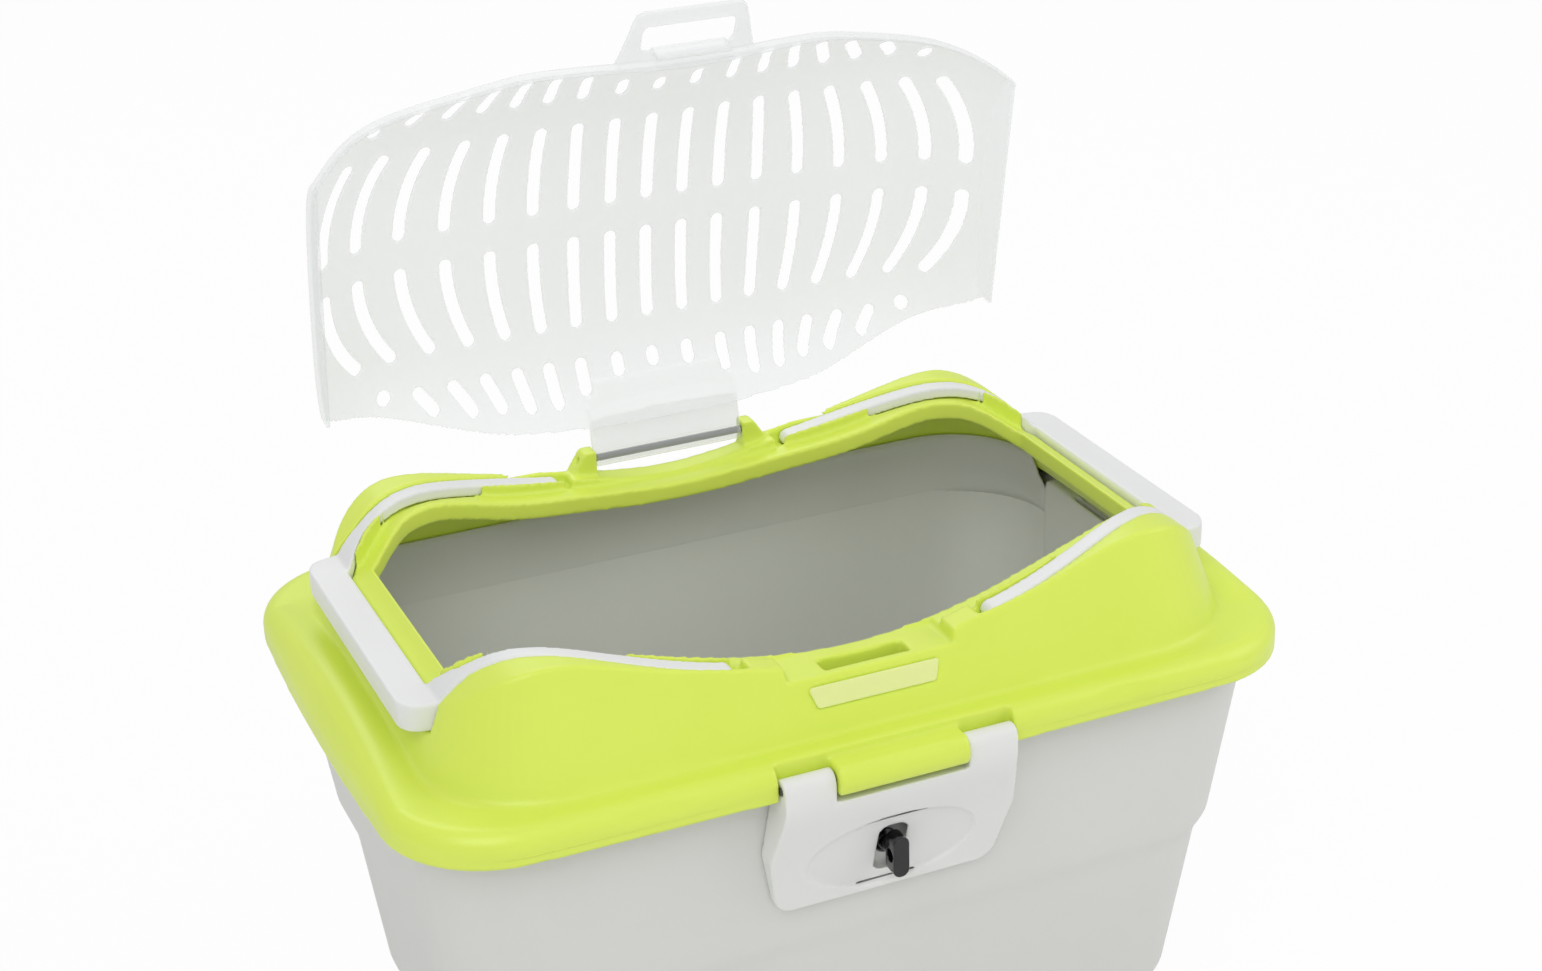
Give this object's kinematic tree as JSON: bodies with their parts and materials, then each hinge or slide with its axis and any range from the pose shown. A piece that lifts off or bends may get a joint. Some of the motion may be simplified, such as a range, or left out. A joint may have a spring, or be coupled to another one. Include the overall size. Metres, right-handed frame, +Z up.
{
  "type": "small animal carrier",
  "caption": "Open-topped plastic pet carrier: tapered tub, clasped cover frame, slotted see-through lid on a rear hinge, and swing handles that fold flat.",
  "frame": {"origin": "centre of the carrier's footprint on the floor", "axes": "+X along the long side, -Y towards the side with the lid's grip loop, +Z up"},
  "size_m": [0.48, 0.3266, 0.5411],
  "materials": {
    "grey_pp": "fine satin grain",
    "lime_pp": "satin",
    "pale_lime_pp": "satin",
    "clear_pp": "frosted translucent",
    "light_grey_pp": "satin",
    "clasp_pp": "satin",
    "black_abs": "gloss",
    "steel": "drawn wire"
  },
  "bodies": {
    "base": {"tub": "grey_pp", "cover_frame": "lime_pp", "thumb_pad": "pale_lime_pp", "lid_hinge_pin": "steel", "front_clasp_pin": "steel"},
    "lid": {"lid": "clear_pp"},
    "left_handle": {"left_handle": "light_grey_pp"},
    "right_handle": {"right_handle": "light_grey_pp"},
    "front_clasp": {"front_clasp": "clasp_pp"},
    "front_lock": {"front_lock": "black_abs", "front_lock_ring": "black_abs"}
  },
  "joints": [
    {"name": "lid_hinge", "type": "hinge", "parent": "base", "child": "lid", "pos_m": [0, 0.125, 0.282], "axis": [-1, 0, 0], "range_deg": [-79.3, 0]},
    {"name": "left_handle_swing", "type": "hinge", "parent": "base", "child": "left_handle", "pos_m": [-0.071, 0, 0.273], "axis": [0, 1, 0], "range_deg": [0, 117]},
    {"name": "right_handle_swing", "type": "hinge", "parent": "base", "child": "right_handle", "pos_m": [0.071, 0, 0.273], "axis": [0, -1, 0], "range_deg": [0, 117]},
    {"name": "front_clasp_swing", "type": "hinge", "parent": "base", "child": "front_clasp", "pos_m": [0, -0.1582, 0.228], "axis": [-1, 0, 0], "range_deg": [0, 100]},
    {"name": "front_lock_turn", "type": "hinge", "parent": "base", "child": "front_lock", "pos_m": [0, -0.15, 0.176], "axis": [0, -1, 0], "range_deg": [0, 90]}
  ]
}
